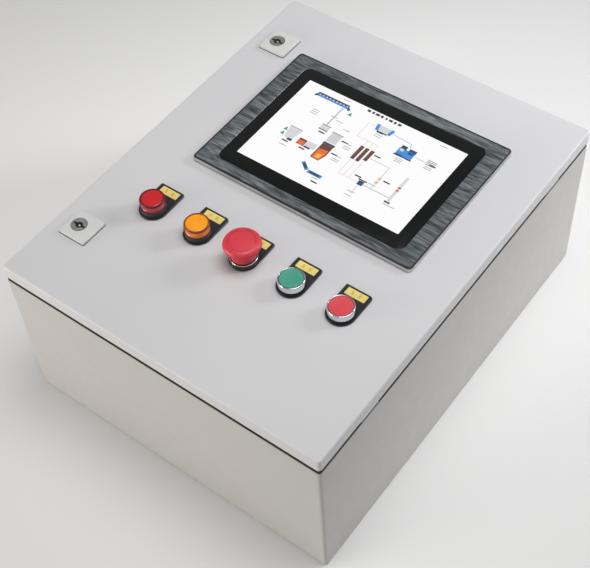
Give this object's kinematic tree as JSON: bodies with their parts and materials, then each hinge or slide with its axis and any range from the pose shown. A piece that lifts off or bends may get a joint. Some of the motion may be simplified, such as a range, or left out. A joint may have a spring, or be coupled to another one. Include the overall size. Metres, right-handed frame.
{
  "type": "wall-mount operator enclosure with touch panel",
  "caption": "Sheet-steel operator enclosure with a hinged door that carries a touch panel, pilot lamps, push-buttons, a mushroom emergency stop and quarter-turn locks.",
  "frame": {"origin": "on the wall face, at the centre of the four wall holes; the enclosure lies on its back", "axes": "+Z is the door's outward normal, +X runs from the lock side to the hinge side, +Y runs from the push-buttons to the touch panel and is up when the enclosure hangs on a wall"},
  "size_m": [0.4, 0.525, 0.2406],
  "materials": {
    "painted_case": "light grey textured powder coat",
    "painted_door": "light grey textured powder coat",
    "galvanised_steel": "hot-dip galvanised sheet",
    "zinc_plated_steel": "bright zinc plate",
    "brass": "plain turned brass",
    "duct_grey": "matt moulded PVC",
    "device_light_grey": "fine-textured moulded plastic",
    "device_dark_grey": "fine-textured moulded plastic",
    "gland_black": "moulded nylon",
    "rubber_black": "matt foam or rubber",
    "brushed_aluminium_dark": "dark anodised, brushed across the panel",
    "touch_glass": "glossy glass with a black border",
    "screen": "lit white screen",
    "circuit_green": "solder mask",
    "housing_black": "matt moulded plastic",
    "connector_green": "matt moulded plastic",
    "legend_black": "satin black moulding",
    "label_yellow": "pale yellow printed label",
    "lens_red": "clear red polycarbonate",
    "lens_amber": "clear amber polycarbonate",
    "chrome": "bright chrome plate",
    "estop_red": "satin red moulding",
    "cap_green": "satin green moulding",
    "cap_red": "satin red moulding",
    "lock_plate_grey": "satin light grey paint on a die casting",
    "lock_nickel": "satin nickel plate",
    "spring_steel": "drawn wire"
  },
  "bodies": {
    "enclosure": {"body_shell": "painted_case", "plate_studs": "zinc_plated_steel", "plate_spacers": "zinc_plated_steel", "mounting_plate": "galvanised_steel", "plate_nuts": "zinc_plated_steel", "wiring_ducts": "duct_grey", "duct_covers": "duct_grey", "din_rails": "galvanised_steel", "rail_screws": "zinc_plated_steel", "power_supply": "device_light_grey", "controller": "device_dark_grey", "contactor": "device_dark_grey", "interface_relays": "device_light_grey", "terminal_blocks": "device_light_grey", "end_clamps": "device_dark_grey", "earth_stud": "brass", "gland_plate": "painted_case", "gland_plate_screws": "zinc_plated_steel", "cable_glands": "gland_black", "gland_locknuts": "gland_black", "fixed_hinge_leaves": "zinc_plated_steel", "hinge_pins": "zinc_plated_steel"},
    "door": {"door_panel": "painted_door", "door_gasket": "rubber_black", "door_hinge_leaves": "zinc_plated_steel", "door_earth_stud": "brass", "hmi_bezel": "brushed_aluminium_dark", "hmi_seal": "rubber_black", "hmi_glass": "touch_glass", "hmi_display": "screen", "hmi_circuit_board": "circuit_green", "hmi_rear_housing": "housing_black", "hmi_clamps": "zinc_plated_steel", "hmi_clamp_screws": "zinc_plated_steel", "hmi_connectors": "connector_green", "legend_plates": "legend_black", "legend_inserts": "label_yellow", "device_nuts": "housing_black", "lamp_bases": "housing_black", "red_lamp_lens": "lens_red", "amber_lamp_lens": "lens_amber", "lamp_modules": "housing_black", "estop_collar": "housing_black", "estop_trim_ring": "chrome", "button_bezels": "chrome", "bezel_seals": "rubber_black", "contact_blocks": "housing_black", "lock_housings": "lock_plate_grey", "lock_nuts": "zinc_plated_steel", "estop_spring": "spring_steel", "green_spring": "spring_steel", "red_spring": "spring_steel"},
    "upper_lock": {"upper_lock_core": "lock_nickel", "upper_lock_cam": "zinc_plated_steel"},
    "lower_lock": {"lower_lock_core": "lock_nickel", "lower_lock_cam": "zinc_plated_steel"},
    "estop_plunger": {"estop_stem": "housing_black"},
    "estop_button": {"estop_head": "estop_red"},
    "green_button": {"green_cap": "cap_green"},
    "red_button": {"red_cap": "cap_red"}
  },
  "joints": [
    {"name": "door_hinge", "type": "hinge", "parent": "enclosure", "child": "door", "pos_m": [0.198, 0, 0.192], "axis": [0, 1, 0], "range_deg": [0, 120]},
    {"name": "upper_lock_turn", "type": "hinge", "parent": "door", "child": "upper_lock", "pos_m": [-0.1687, 0.1755, 0.21], "axis": [0, 0, 1], "range_deg": [0, 90]},
    {"name": "lower_lock_turn", "type": "hinge", "parent": "door", "child": "lower_lock", "pos_m": [-0.1687, -0.1655, 0.21], "axis": [0, 0, 1], "range_deg": [0, 90]},
    {"name": "estop_press", "type": "slide", "parent": "door", "child": "estop_plunger", "axis": [0, 0, -1], "range_m": [0, 0.004], "stiffness_N_per_m": 900, "springref_m": -0.004, "deforming": ["estop_spring"]},
    {"name": "estop_twist", "type": "hinge", "parent": "estop_plunger", "child": "estop_button", "pos_m": [0, -0.1032, 0.22], "axis": [0, 0, -1], "range_deg": [0, 40], "stiffness_Nm_per_rad": 0.2},
    {"name": "green_press", "type": "slide", "parent": "door", "child": "green_button", "axis": [0, 0, -1], "range_m": [0, 0.004], "stiffness_N_per_m": 800, "springref_m": -0.004, "deforming": ["green_spring"]},
    {"name": "red_press", "type": "slide", "parent": "door", "child": "red_button", "axis": [0, 0, -1], "range_m": [0, 0.004], "stiffness_N_per_m": 800, "springref_m": -0.004, "deforming": ["red_spring"]}
  ]
}
